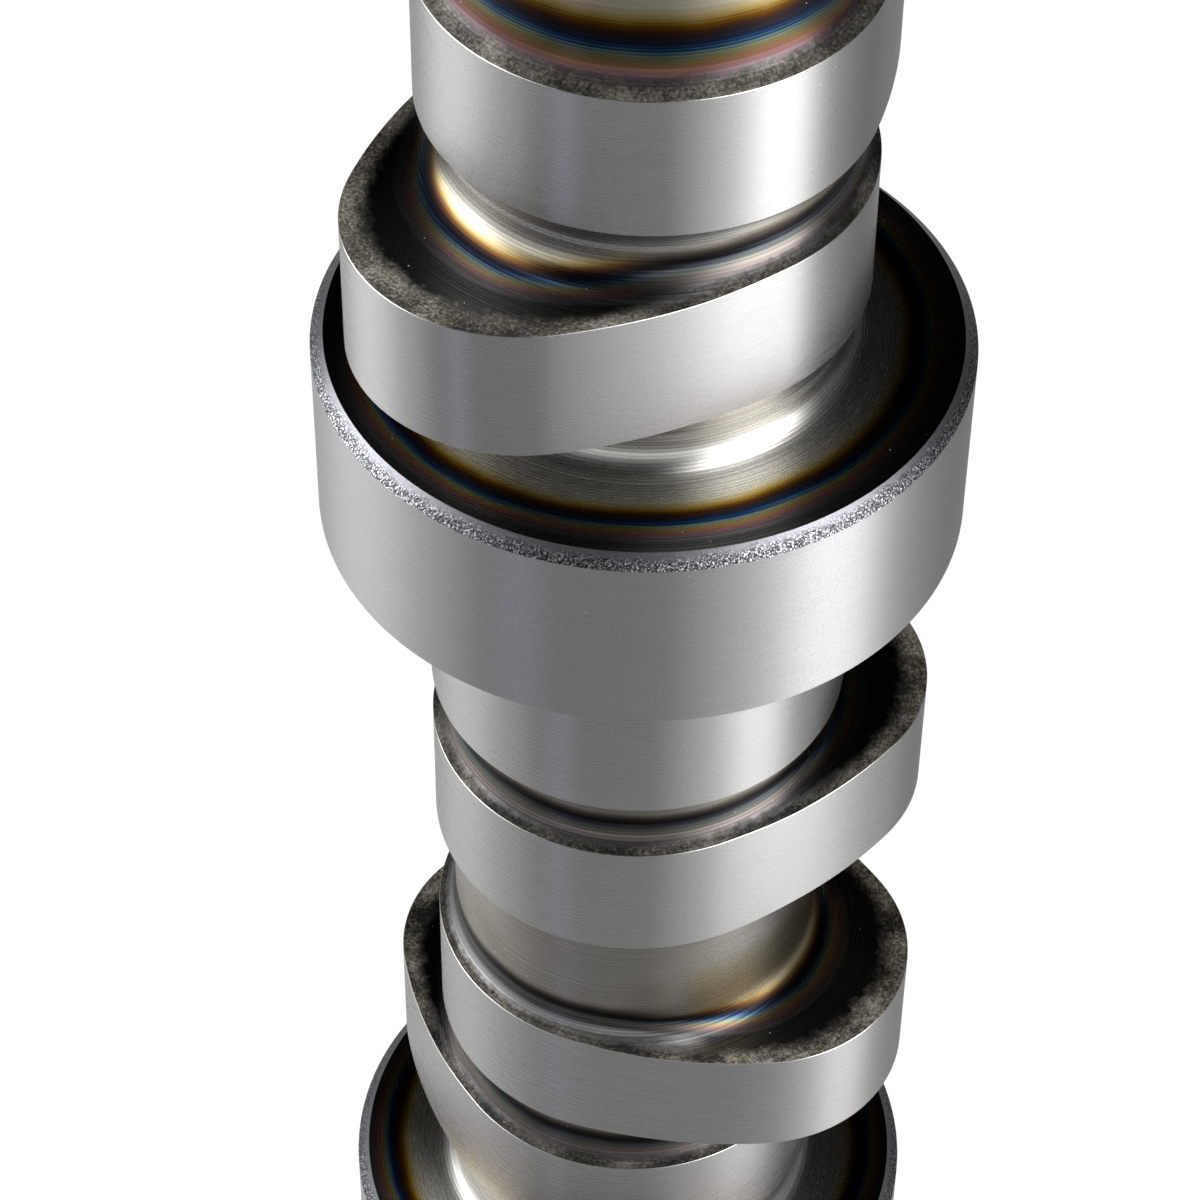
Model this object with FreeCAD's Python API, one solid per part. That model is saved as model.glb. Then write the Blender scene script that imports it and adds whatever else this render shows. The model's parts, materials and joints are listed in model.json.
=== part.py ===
import FreeCAD, Part
import math
import os

# Roller camshaft of a V engine with eight cylinders, standing on its rear end: five bearing journals
# of one size, sixteen lobes, and at the top the nose that carries the timing gear.
# Millimetres and degrees. +Z runs along the shaft's axis from the rear end to the front end, and
# angles are counted anticlockwise from +X, seen from the front end.

# Bearing journals, one at each end of every bay of four lobes
bay_count = 4
bay_pitch = 111.76
journal_radius = 27.5
journal_front_half = 10.3
journal_rear_half = 9.15
journal_chamfer = 1.1

# The shaft between journals and lobes, turned down by grooves with sloped corners
core_radius = 16.8
corner_rise = 1.3
corner_run = 2.2

# Drilled through to save weight, with cones at both ends for the grinder's centres
bore_radius = 8.0
cone_radius = 9.6
cone_half_angle = 30.0

# Lobes: a base circle, two flanks that leave it smoothly, and a nose that the flanks run into
base_radius = 18.4
lobe_lift = 8.8
flank_radius = 45.0
flank_start_angle = 84.0
lobe_width = 12.4
near_lobe_offset = 23.3
far_lobe_offset = 42.2

# Timing: the firing order of the cylinders, and the angles between their lobes
firing_order = [1, 8, 7, 2, 6, 5, 4, 3]
lobe_separation = 112.0
bank_half_angle = 45.0
timing_angle = 210.0

# Front end: a round register, tapped holes for the gear's screws, and one locating pin
nose_radius = 20.5
nose_length = 9.0
nose_chamfer = 0.8
hole_circle_radius = 14.6
screw_count = 3
screw_hole_radius = 3.4
screw_hole_depth = 22.0
screw_countersink = 0.8
drill_point_half_angle = 59.0
first_screw_angle = 90.0
pin_angle = 150.0
pin_radius = 3.15
pin_chamfer = 0.6
pin_stand_out = 8.0
pin_seat_depth = 12.0
pin_end_gap = 0.5

# How far cutting tools and rough stock run past the faces that they make
margin = 0.2

up = FreeCAD.Vector(0, 0, 1)

journal_lines = [journal_rear_half + bay_pitch * step for step in range(bay_count + 1)]
front_face = journal_lines[-1] + journal_front_half
nose_face = front_face + nose_length
cone_depth = (cone_radius - bore_radius) / math.tan(math.radians(cone_half_angle))


def polar(radius, angle, height=0.0):
    turn = math.radians(angle)
    return FreeCAD.Vector(radius * math.cos(turn), radius * math.sin(turn), height)


def turned(corners):
    """Solid made by turning a closed outline of (radius, height) corners round the shaft's axis."""
    points = [FreeCAD.Vector(radius, 0, height) for radius, height in corners]
    return Part.Face(Part.makePolygon(points + points[:1])).revolve(FreeCAD.Vector(), up, 360)


def cylinder(radius, low, high):
    return Part.makeCylinder(radius, high - low, FreeCAD.Vector(0, 0, low))


def lobe_nose_angle(cylinder_number, is_intake):
    """Angle of a lobe's nose from the place of its cylinder in the firing order."""
    firing_turn = firing_order.index(cylinder_number) * 360.0 / len(firing_order)
    bank_turn = -bank_half_angle if cylinder_number % 2 else bank_half_angle
    valve_turn = lobe_separation / 2 if is_intake else -lobe_separation / 2
    return timing_angle + firing_turn + bank_turn + valve_turn


def lobe_outline():
    """Closed outline of a lobe with its nose toward +X: four arcs, each tangent to the next."""
    flank_reach = flank_radius - base_radius
    flank_centre = polar(-flank_reach, flank_start_angle)
    tip = base_radius + lobe_lift
    across = tip - flank_centre.x
    nose_arc_radius = (across**2 + flank_centre.y**2 - flank_radius**2) / (2 * (across - flank_radius))
    nose_centre = polar(tip - nose_arc_radius, 0)
    joint_angle = math.degrees(math.atan2(-flank_centre.y, nose_centre.x - flank_centre.x))
    middle_angle = (flank_start_angle + joint_angle) / 2

    flank_start = polar(base_radius, flank_start_angle)
    flank_middle = flank_centre + polar(flank_radius, middle_angle)
    flank_end = nose_centre + polar(nose_arc_radius, joint_angle)

    def mirrored(point):
        return FreeCAD.Vector(point.x, -point.y, 0)

    arcs = [
        Part.Arc(flank_start, flank_middle, flank_end),
        Part.Arc(flank_end, polar(tip, 0), mirrored(flank_end)),
        Part.Arc(mirrored(flank_end), mirrored(flank_middle), mirrored(flank_start)),
        Part.Arc(mirrored(flank_start), polar(base_radius, 180), flank_start),
    ]
    return Part.Wire([arc.toShape() for arc in arcs])


def lobe_stock(centre_height, nose_angle):
    """Lobe with stock beyond its side faces, out of which the grooves turn the sloped corners."""
    half_length = lobe_width / 2 + corner_run + margin
    body = Part.Face(lobe_outline()).extrude(up * (2 * half_length))
    body.rotate(FreeCAD.Vector(), up, nose_angle)
    body.translate(up * (centre_height - half_length))
    return body


def groove(low, high, journal_below, journal_above):
    """Ring turned away between two side faces, with sloped corners at the core and journal rims bevelled."""
    outside = journal_radius + margin
    bevel = journal_chamfer + margin
    corner_radius = core_radius + corner_rise
    wall_below = [(outside, low - bevel), (outside - bevel, low)] if journal_below else [(outside, low)]
    wall_above = [(outside - bevel, high), (outside, high + bevel)] if journal_above else [(outside, high)]
    floor = [(corner_radius, low), (core_radius, low + corner_run)]
    floor += [(core_radius, high - corner_run), (corner_radius, high)]
    return turned(wall_below + floor + wall_above)


def bands_and_stock():
    """Side faces of every journal and lobe from the rear up, and the stock that holds them."""
    bands = []
    stock = []
    spare = corner_run + margin
    for line in journal_lines:
        low = line - journal_rear_half
        high = line + journal_front_half
        bands.append((low, high, True))
        stock_low = max(low - spare, journal_lines[0] - journal_rear_half)
        stock_high = min(high + spare, front_face)
        stock.append(cylinder(journal_radius, stock_low, stock_high))
    for bay in range(bay_count):
        front_line = journal_lines[bay_count - bay]
        odd = 2 * bay + 1
        even = odd + 1
        places = [
            (near_lobe_offset, odd, True),
            (far_lobe_offset, even, False),
            (bay_pitch - far_lobe_offset, odd, False),
            (bay_pitch - near_lobe_offset, even, True),
        ]
        for offset, cylinder_number, is_intake in places:
            centre = front_line - offset
            bands.append((centre - lobe_width / 2, centre + lobe_width / 2, False))
            stock.append(lobe_stock(centre, lobe_nose_angle(cylinder_number, is_intake)))
    return sorted(bands), stock


def drilled_hole(radius, depth, angle):
    """Blind hole down from the nose's face, with the cone that a drill leaves."""
    point = radius / math.tan(math.radians(drill_point_half_angle))
    hole = cylinder(radius, nose_face - depth, nose_face + margin)
    tip = Part.makeCone(0, radius, point, FreeCAD.Vector(0, 0, nose_face - depth - point))
    drill = hole.fuse(tip)
    drill.translate(polar(hole_circle_radius, angle))
    return drill


def screw_hole(angle):
    mouth = Part.makeCone(
        screw_hole_radius,
        screw_hole_radius + screw_countersink + margin,
        screw_countersink + margin,
        polar(hole_circle_radius, angle, nose_face - screw_countersink),
    )
    return drilled_hole(screw_hole_radius, screw_hole_depth, angle).fuse(mouth)


def bore_tool():
    """Through bore with a centre cone at each end."""
    return turned(
        [
            (0, 0),
            (cone_radius, 0),
            (bore_radius, cone_depth),
            (bore_radius, nose_face - cone_depth),
            (cone_radius, nose_face),
            (0, nose_face),
        ]
    )


def ends():
    """Core bar with the nose on its front end."""
    return turned(
        [
            (0, 0),
            (core_radius, 0),
            (core_radius, front_face - margin),
            (nose_radius, front_face - margin),
            (nose_radius, nose_face - nose_chamfer),
            (nose_radius - nose_chamfer, nose_face),
            (0, nose_face),
        ]
    )


def rim_bevel(face_height, inward):
    """Ring that bevels a journal's rim at an end of the shaft."""
    outside = journal_radius + margin
    bevel = journal_chamfer + margin
    return turned(
        [
            (outside - bevel, face_height),
            (outside, face_height),
            (outside, face_height + inward * bevel),
        ]
    )


def make_camshaft():
    bands, stock = bands_and_stock()
    blank = ends().multiFuse(stock)
    tools = []
    for below, above in zip(bands, bands[1:]):
        tools.append(groove(below[1], above[0], below[2], above[2]))
    tools += [rim_bevel(0, 1), rim_bevel(front_face, -1)]
    tools.append(bore_tool())
    for number in range(screw_count):
        tools.append(screw_hole(first_screw_angle + 360.0 * number / screw_count))
    tools.append(drilled_hole(pin_radius, pin_seat_depth, pin_angle))
    return blank.cut(tools).removeSplitter()


def make_dowel_pin():
    """Hardened pin pressed into the nose, bevelled at both ends."""
    length = pin_seat_depth - pin_end_gap + pin_stand_out
    pin = Part.makeCylinder(pin_radius, length, polar(hole_circle_radius, pin_angle))
    pin = pin.makeChamfer(pin_chamfer, [edge for edge in pin.Edges if edge.isClosed()])
    pin.translate(up * (nose_face + pin_stand_out - length))
    return pin


def export(shape, name):
    shape.exportStep(os.path.join("parts", name + ".step"))
    print(name, "solids", len(shape.Solids), "valid", shape.isValid(), "mm3", round(shape.Volume))


os.makedirs("parts", exist_ok=True)
export(make_camshaft(), "camshaft")
export(make_dowel_pin(), "dowel_pin")
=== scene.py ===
import json
import math

import bpy
import numpy as np
from mathutils import Matrix, Vector


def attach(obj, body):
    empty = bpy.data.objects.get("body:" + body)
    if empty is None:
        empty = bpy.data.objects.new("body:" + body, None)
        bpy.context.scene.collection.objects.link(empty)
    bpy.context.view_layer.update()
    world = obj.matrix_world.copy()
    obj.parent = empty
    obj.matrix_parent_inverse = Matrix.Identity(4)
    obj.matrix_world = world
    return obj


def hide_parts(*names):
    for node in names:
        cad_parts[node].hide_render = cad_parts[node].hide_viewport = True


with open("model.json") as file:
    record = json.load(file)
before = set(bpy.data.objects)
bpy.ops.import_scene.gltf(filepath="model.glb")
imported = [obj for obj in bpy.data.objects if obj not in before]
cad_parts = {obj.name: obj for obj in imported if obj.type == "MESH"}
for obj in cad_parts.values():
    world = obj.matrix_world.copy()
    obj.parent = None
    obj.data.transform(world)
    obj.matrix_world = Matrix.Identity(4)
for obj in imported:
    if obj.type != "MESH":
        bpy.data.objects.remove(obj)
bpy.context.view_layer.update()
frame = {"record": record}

mm = 0.001
mounts = {mount["name"]: mount for mount in frame["record"]["mounts"]}
scene = bpy.context.scene


# Shared helpers

def hexLinear(code):
    # sRGB hex to the linear colour that the nodes take
    channels = [int(code[place:place + 2], 16) / 255 for place in (1, 3, 5)]
    linear = [c / 12.92 if c <= 0.04045 else ((c + 0.055) / 1.055) ** 2.4 for c in channels]
    return (*linear, 1.0)


def onlySelect(piece=None):
    if bpy.context.object and bpy.context.object.mode != "OBJECT":
        bpy.ops.object.mode_set(mode="OBJECT")
    bpy.ops.object.select_all(action="DESELECT")
    if piece:
        piece.select_set(True)
        bpy.context.view_layer.objects.active = piece


def turnedPiece(name, corners, steps):
    # A half section of (radius, height) corners in mm is drawn by extruding one point, then spun round Z
    onlySelect()
    bpy.ops.mesh.primitive_plane_add(size=mm, location=(0, 0, 0))
    piece = bpy.context.object
    piece.name = name
    piece.data.name = name
    bpy.ops.object.mode_set(mode="EDIT")
    bpy.ops.mesh.select_all(action="SELECT")
    bpy.ops.mesh.merge(type="CENTER")
    here = Vector((corners[0][0] * mm, 0, corners[0][1] * mm))
    bpy.ops.transform.translate(value=here)
    for radius, height in corners[1:]:
        there = Vector((radius * mm, 0, height * mm))
        bpy.ops.mesh.extrude_vertices_move(TRANSFORM_OT_translate={"value": there - here})
        here = there
    bpy.ops.object.mode_set(mode="OBJECT")
    order = piece.data.attributes.new("station", "INT", "POINT")
    order.data.foreach_set("value", np.arange(len(corners), dtype=np.int32))
    bpy.ops.object.mode_set(mode="EDIT")
    bpy.ops.mesh.select_all(action="SELECT")
    bpy.ops.mesh.spin(steps=steps, angle=2 * math.pi, center=(0, 0, 0), axis=(0, 0, 1))
    bpy.ops.mesh.select_all(action="SELECT")
    bpy.ops.mesh.remove_doubles(threshold=0.002 * mm)
    bpy.ops.object.mode_set(mode="OBJECT")
    return piece


def facesOutward(piece):
    onlySelect(piece)
    bpy.ops.object.mode_set(mode="EDIT")
    bpy.ops.mesh.select_all(action="SELECT")
    bpy.ops.mesh.normals_make_consistent(inside=False)
    bpy.ops.object.mode_set(mode="OBJECT")


def vertexPlaces(piece):
    places = np.empty(len(piece.data.vertices) * 3)
    piece.data.vertices.foreach_get("co", places)
    return places.reshape(-1, 3)


def setNode(tree, node, settings, links):
    # The setting named stops fills a colour ramp: (place from 0 to 1, hex colour or three levels)
    for name, value in settings.items():
        if name == "stops":
            ramp = node.color_ramp
            while len(ramp.elements) > 1:
                ramp.elements.remove(ramp.elements[-1])
            for number, (place, shade) in enumerate(value):
                element = ramp.elements[0] if number == 0 else ramp.elements.new(place)
                element.position = place
                element.color = hexLinear(shade) if isinstance(shade, str) else (*shade, 1)
        elif isinstance(name, str) and hasattr(node, name):
            setattr(node, name, value)
        else:
            node.inputs[name].default_value = value
    for socket, source in links.items():
        tree.links.new(source, node.inputs[socket])
    return node


def addNode(tree, kind, settings=None, links=None):
    return setNode(tree, tree.nodes.new(kind), settings or {}, links or {})


def startMaterial(name):
    material = bpy.data.materials.new(name)
    material.use_nodes = True
    tree = material.node_tree
    place = addNode(tree, "ShaderNodeTexCoord").outputs["Object"]
    return material, tree, tree.nodes["Principled BSDF"], place


def axisDistance(tree, place):
    # Distance from the shaft's axis in mm
    flat = addNode(tree, "ShaderNodeVectorMath", {"operation": "MULTIPLY", 1: (1 / mm, 1 / mm, 0)},
                   {0: place})
    away = addNode(tree, "ShaderNodeVectorMath", {"operation": "LENGTH"}, {0: flat.outputs[0]})
    return away.outputs["Value"]


def aroundAxis(tree, place, streak, spacing):
    # Coordinates wrapped round the axis, so that a noise draws streaks this many mm long round a
    # face of 22 mm radius, with this spacing in mm along the shaft, and no seam
    flat = addNode(tree, "ShaderNodeVectorMath", {"operation": "MULTIPLY", 1: (1, 1, 0)}, {0: place})
    ring = addNode(tree, "ShaderNodeVectorMath", {"operation": "NORMALIZE"}, {0: flat.outputs[0]})
    around = addNode(tree, "ShaderNodeVectorMath", {"operation": "SCALE", "Scale": 22 / streak},
                     {0: ring.outputs[0]})
    along = addNode(tree, "ShaderNodeVectorMath", {"operation": "MULTIPLY", 1: (0, 0, 1 / (spacing * mm))},
                    {0: place})
    return addNode(tree, "ShaderNodeVectorMath", {"operation": "ADD"},
                   {0: around.outputs[0], 1: along.outputs[0]}).outputs[0]


def dustOver(tree, place, colour, roughness, cell=1.7):
    # Settled dust: a pale speck of about 0.12 mm in the cells of a grid of this many mm
    specks = addNode(tree, "ShaderNodeTexVoronoi", {"Scale": 1 / (cell * mm), "Randomness": 1.0},
                     {"Vector": place})
    near = addNode(tree, "ShaderNodeMapRange",
                   {"From Min": 0.026, "From Max": 0.042, "To Min": 0.8, "To Max": 0.0},
                   {"Value": specks.outputs["Distance"]})
    tint = addNode(tree, "ShaderNodeMix", {"data_type": "RGBA", 7: hexLinear("#C9C8C2")},
                   {0: near.outputs[0], 6: colour})
    rough = addNode(tree, "ShaderNodeMix", {"data_type": "FLOAT", 3: 0.8},
                    {0: near.outputs[0], 2: roughness})
    return tint.outputs[2], rough.outputs[0]


def blurAlong(tree, shader, amount):
    # Marks round the axis pull reflections out along the shaft, and across a flat side
    tangent = addNode(tree, "ShaderNodeTangent", {"direction_type": "RADIAL", "axis": "Z"})
    setNode(tree, shader, {"Anisotropic": amount, "Anisotropic Rotation": 0.25},
            {"Tangent": tangent.outputs[0]})


# Camera, from the photograph's viewing angle

cameraSetup = {
    "place": (-0.005192, -0.247451, 0.468928),
    "right": (0.99998, 0.0, 0.00689),
    "up": (-0.00476, 0.72296, 0.69087),
    "forward": (0.00498, 0.69089, -0.72294),
    "lens": 122.115,
    "sensor": 36,
    "clipStart": 0.01,
}
bpy.ops.object.camera_add()
camera = bpy.context.object
camera.name = "camera"
turn = Matrix((cameraSetup["right"], cameraSetup["up"], -Vector(cameraSetup["forward"]))).transposed()
camera.matrix_world = Matrix.Translation(Vector(cameraSetup["place"])) @ turn.to_4x4()
camera.data.lens = cameraSetup["lens"]
camera.data.sensor_width = cameraSetup["sensor"]
camera.data.clip_start = cameraSetup["clipStart"]
scene.camera = camera
print("camera placed")


# Finishes of the shaft

def groundLobeSteel():
    # Hardened steel ground with a wheel: bright, with fine short scratches round the lobe. Real
    # ones lie closer than 0.1 mm, which is too fine to show
    material, tree, shader, place = startMaterial("ground_hardened_steel_lobes")
    scratch = addNode(tree, "ShaderNodeTexNoise", {"Scale": 1.0, "Detail": 3.0, "Roughness": 0.6},
                      {"Vector": aroundAxis(tree, place, 2.6, 0.10)})
    broad = addNode(tree, "ShaderNodeTexNoise", {"Scale": 1.0, "Detail": 2.0},
                    {"Vector": aroundAxis(tree, place, 7.0, 1.6)})
    mixed = addNode(tree, "ShaderNodeMix", {"data_type": "FLOAT", 0: 0.2},
                    {2: scratch.outputs[0], 3: broad.outputs[0]})
    tone = addNode(tree, "ShaderNodeValToRGB",
                   {"stops": [(0.32, "#B7B6B6"), (0.50, "#BDBCBB"), (0.66, "#C2C1C0")]},
                   {0: mixed.outputs[0]})
    rough = addNode(tree, "ShaderNodeMapRange",
                    {"From Min": 0.3, "From Max": 0.7, "To Min": 0.32, "To Max": 0.22},
                    {"Value": mixed.outputs[0]})
    colour, roughness = dustOver(tree, place, tone.outputs[0], rough.outputs[0])
    bump = addNode(tree, "ShaderNodeBump", {"Strength": 0.22, "Distance": 0.003 * mm},
                   {"Height": scratch.outputs[0]})
    blurAlong(tree, shader, 0.85)
    setNode(tree, shader, {"Metallic": 1.0},
            {"Base Color": colour, "Roughness": roughness, "Normal": bump.outputs[0]})
    return material


def groundJournalSteel():
    # Journals ground finer than the lobes: a satin face with an even grain, drawn coarser than the
    # real one so that it shows
    material, tree, shader, place = startMaterial("ground_satin_steel_journals")
    grain = addNode(tree, "ShaderNodeTexNoise", {"Scale": 1 / (0.16 * mm), "Detail": 2.0},
                    {"Vector": place})
    lines = addNode(tree, "ShaderNodeTexNoise", {"Scale": 1.0, "Detail": 2.0},
                    {"Vector": aroundAxis(tree, place, 6.0, 0.30)})
    mixed = addNode(tree, "ShaderNodeMix", {"data_type": "FLOAT", 0: 0.22},
                    {2: grain.outputs[0], 3: lines.outputs[0]})
    tone = addNode(tree, "ShaderNodeValToRGB",
                   {"stops": [(0.32, "#B1B0B1"), (0.5, "#BCBBBB"), (0.66, "#C4C3C3")]},
                   {0: mixed.outputs[0]})
    rough = addNode(tree, "ShaderNodeMapRange",
                    {"From Min": 0.3, "From Max": 0.7, "To Min": 0.34, "To Max": 0.26},
                    {"Value": mixed.outputs[0]})
    colour, roughness = dustOver(tree, place, tone.outputs[0], rough.outputs[0])
    bump = addNode(tree, "ShaderNodeBump", {"Strength": 0.3, "Distance": 0.003 * mm},
                   {"Height": mixed.outputs[0]})
    blurAlong(tree, shader, 0.75)
    setNode(tree, shader, {"Metallic": 1.0},
            {"Base Color": colour, "Roughness": roughness, "Normal": bump.outputs[0]})
    return material


def roughBevelSteel():
    # The journals' rims, bevelled in the blank: smooth above, and torn and speckled with bright
    # grains along the edge that the grinding left
    material, tree, shader, place = startMaterial("rough_turned_steel_bevels")
    ragged = addNode(tree, "ShaderNodeTexNoise", {"Scale": 1 / (0.9 * mm), "Detail": 3.0},
                     {"Vector": place})
    edge = addNode(tree, "ShaderNodeMath", {"operation": "MULTIPLY_ADD", 1: 0.9},
                   {0: ragged.outputs[0], 2: axisDistance(tree, place)})
    torn = addNode(tree, "ShaderNodeMapRange", {"From Min": 27.05, "From Max": 27.45},
                   {"Value": edge.outputs[0]})
    grain = addNode(tree, "ShaderNodeTexNoise",
                    {"Scale": 1 / (0.16 * mm), "Detail": 3.0, "Roughness": 0.65}, {"Vector": place})
    tornTone = addNode(tree, "ShaderNodeValToRGB",
                       {"stops": [(0.36, "#1B1C1F"), (0.52, "#515255"), (0.66, "#C0C1C5")]},
                       {0: grain.outputs[0]})
    smoothTone = addNode(tree, "ShaderNodeValToRGB", {"stops": [(0.3, "#66676B"), (0.7, "#7D7D82")]},
                         {0: grain.outputs[0]})
    colour = addNode(tree, "ShaderNodeMix", {"data_type": "RGBA"},
                     {0: torn.outputs[0], 6: smoothTone.outputs[0], 7: tornTone.outputs[0]})
    height = addNode(tree, "ShaderNodeMath", {"operation": "MULTIPLY"},
                     {0: grain.outputs[0], 1: torn.outputs[0]})
    bump = addNode(tree, "ShaderNodeBump", {"Strength": 0.6, "Distance": 0.06 * mm},
                   {"Height": height.outputs[0]})
    setNode(tree, shader, {"Metallic": 1.0, "Roughness": 0.34},
            {"Base Color": colour.outputs[2], "Normal": bump.outputs[0]})
    return material


def tintedTurnedSteel():
    # Turned steel coloured by the heat of hardening: bare and straw by the core, then brown, blue
    # and black oxide, with fine turned lines and a crust of rough scale along the lobes' rims
    material, tree, shader, place = startMaterial("heat_tinted_turned_steel")
    heat, line, rimAway, soot = [
        addNode(tree, "ShaderNodeAttribute", {"attribute_name": name}).outputs["Fac"]
        for name in ("heatTint", "line", "rim", "soot")
    ]

    # Turned lines, one every 0.31 mm of feed, uneven in depth
    feed = addNode(tree, "ShaderNodeMath", {"operation": "MULTIPLY", 1: 2 * math.pi / 0.31}, {0: line})
    groove = addNode(tree, "ShaderNodeMath", {"operation": "SINE"}, {0: feed.outputs[0]})
    uneven = addNode(tree, "ShaderNodeTexNoise",
                     {"noise_dimensions": "1D", "Scale": 4.2, "Detail": 4.0, "Roughness": 0.6}, {"W": line})
    depth = addNode(tree, "ShaderNodeMath", {"operation": "MULTIPLY_ADD", 1: 0.09},
                    {0: groove.outputs[0], 2: uneven.outputs[0]})

    # Heat tint, its rings a little ragged: levels run from bare steel at -6 past blue at 0 to grey at 4
    drift = addNode(tree, "ShaderNodeTexNoise", {"Scale": 1 / (9 * mm), "Detail": 2.0}, {"Vector": place})
    ragged = addNode(tree, "ShaderNodeMath", {"operation": "MULTIPLY_ADD", 1: 0.9, 2: -0.72},
                     {0: drift.outputs[0]})
    fine = addNode(tree, "ShaderNodeMath", {"operation": "MULTIPLY_ADD", 1: 0.6},
                   {0: depth.outputs[0], 2: ragged.outputs[0]})
    warm = addNode(tree, "ShaderNodeMath", {"operation": "ADD"}, {0: heat, 1: fine.outputs[0]})
    scale = addNode(tree, "ShaderNodeMapRange", {"From Min": -6.0, "From Max": 4.0},
                    {"Value": warm.outputs[0]})
    shades = ((-6.0, "#B4B3B0"), (-2.6, "#B5B3AC"), (-2.0, "#B3AE9E"), (-1.65, "#AA9E82"),
              (-1.35, "#938158"), (-1.0, "#604626"), (-0.7, "#3A261B"), (-0.4, "#211B1C"),
              (0.0, "#1C202E"), (0.26, "#2B3B58"), (0.5, "#445A62"), (0.82, "#6A6850"),
              (1.2, "#725A48"), (1.6, "#5C484B"), (2.0, "#545052"), (2.7, "#88868B"), (4.0, "#8A888C"))
    oxide = addNode(tree, "ShaderNodeValToRGB",
                    {"stops": [((level + 6) / 10, shade) for level, shade in shades]},
                    {0: scale.outputs[0]})

    # The colours are deeper, and end in black scale, where the steel got hottest
    vivid = addNode(tree, "ShaderNodeMapRange",
                    {"From Min": 0.35, "From Max": 1.35, "To Min": 0.35, "To Max": 1.35}, {"Value": soot})
    faded = addNode(tree, "ShaderNodeHueSaturation", {},
                    {"Saturation": vivid.outputs[0], "Color": oxide.outputs[0]})
    black = addNode(tree, "ShaderNodeMapRange", {"From Min": 1.6, "From Max": 2.6},
                    {"Value": warm.outputs[0]})
    sooted = addNode(tree, "ShaderNodeMath", {"operation": "MULTIPLY"}, {0: soot, 1: black.outputs[0]})
    # The black scale is painted darker in the bottoms of the turned lines and lighter on their ridges:
    # painted shade and sheen
    sootWithGrooveShade = addNode(tree, "ShaderNodeValToRGB",
                       {"stops": [(0.25, "#2A2A2B"), (0.55, "#333332"), (0.85, "#3E3D3C")]},
                       {0: depth.outputs[0]})
    tint = addNode(tree, "ShaderNodeMix", {"data_type": "RGBA"},
                   {0: sooted.outputs[0], 6: faded.outputs[0], 7: sootWithGrooveShade.outputs[0]})

    # Rough scale along the rim of a lobe, darker near the core: painted shade, for the scale that lies low
    # in the grooves
    ragEdge = addNode(tree, "ShaderNodeTexNoise",
                      {"Scale": 1 / (1.1 * mm), "Detail": 4.0, "Roughness": 0.65}, {"Vector": place})
    reach = addNode(tree, "ShaderNodeMath", {"operation": "MULTIPLY_ADD", 1: -1.3},
                    {0: ragEdge.outputs[0], 2: rimAway})
    crust = addNode(tree, "ShaderNodeMapRange", {"From Min": 0.78, "From Max": -0.05},
                    {"Value": reach.outputs[0]})
    mottle = addNode(tree, "ShaderNodeTexNoise",
                     {"Scale": 1 / (0.30 * mm), "Detail": 5.0, "Roughness": 0.70}, {"Vector": place})
    patch = addNode(tree, "ShaderNodeTexNoise", {"Scale": 1 / (5 * mm), "Detail": 2.0}, {"Vector": place})
    patched = addNode(tree, "ShaderNodeMath", {"operation": "MULTIPLY_ADD", 1: 0.8, 2: -0.42},
                      {0: patch.outputs[0]})
    mottled = addNode(tree, "ShaderNodeMath", {"operation": "ADD"},
                      {0: mottle.outputs[0], 1: patched.outputs[0]})
    crustTone = addNode(tree, "ShaderNodeValToRGB",
                        {"stops": [(0.30, "#201E1B"), (0.44, "#57534A"),
                                   (0.58, "#918C80"), (0.74, "#C6C2B6")]},
                        {0: mottled.outputs[0]})
    # Painted shade: the scale's colour is darkened towards the core
    shade = addNode(tree, "ShaderNodeMapRange",
                    {"From Min": 18.4, "From Max": 21.5, "To Min": 0.42, "To Max": 1.0},
                    {"Value": axisDistance(tree, place)})
    crustWithPaintedShade = addNode(tree, "ShaderNodeVectorMath", {"operation": "SCALE"},
                     {0: crustTone.outputs[0], "Scale": shade.outputs[0]})
    colour = addNode(tree, "ShaderNodeMix", {"data_type": "RGBA"},
                     {0: crust.outputs[0], 6: tint.outputs[2], 7: crustWithPaintedShade.outputs[0]})
    bareRough = addNode(tree, "ShaderNodeMapRange",
                        {"From Min": 0.2, "From Max": 0.8, "To Min": 0.30, "To Max": 0.24},
                        {"Value": depth.outputs[0]})
    rough = addNode(tree, "ShaderNodeMix", {"data_type": "FLOAT", 3: 0.55},
                    {0: crust.outputs[0], 2: bareRough.outputs[0]})
    metal = addNode(tree, "ShaderNodeMapRange", {"To Min": 1.0, "To Max": 0.62},
                    {"Value": crust.outputs[0]})

    # Painted shade in the bottoms of the turned lines, and a painted sheen on their ridges
    grooveShadeAndSheen = addNode(tree, "ShaderNodeMapRange",
                    {"From Min": 0.3, "From Max": 0.75, "To Min": 0.66, "To Max": 1.12},
                    {"Value": depth.outputs[0]})
    cut = addNode(tree, "ShaderNodeVectorMath", {"operation": "SCALE"},
                  {0: colour.outputs[2], "Scale": grooveShadeAndSheen.outputs[0]})
    dusted, dustedRough = dustOver(tree, place, cut.outputs[0], rough.outputs[0], 1.6)
    lineBump = addNode(tree, "ShaderNodeBump", {"Strength": 0.7, "Distance": 0.02 * mm},
                       {"Height": depth.outputs[0]})
    crustHeight = addNode(tree, "ShaderNodeMath", {"operation": "MULTIPLY"},
                          {0: mottle.outputs[0], 1: crust.outputs[0]})
    bump = addNode(tree, "ShaderNodeBump", {"Strength": 0.6, "Distance": 0.07 * mm},
                   {"Height": crustHeight.outputs[0], "Normal": lineBump.outputs[0]})
    blurAlong(tree, shader, 0.86)
    setNode(tree, shader, {}, {"Base Color": dusted, "Roughness": dustedRough,
                               "Metallic": metal.outputs[0], "Normal": bump.outputs[0]})
    return material


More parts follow.
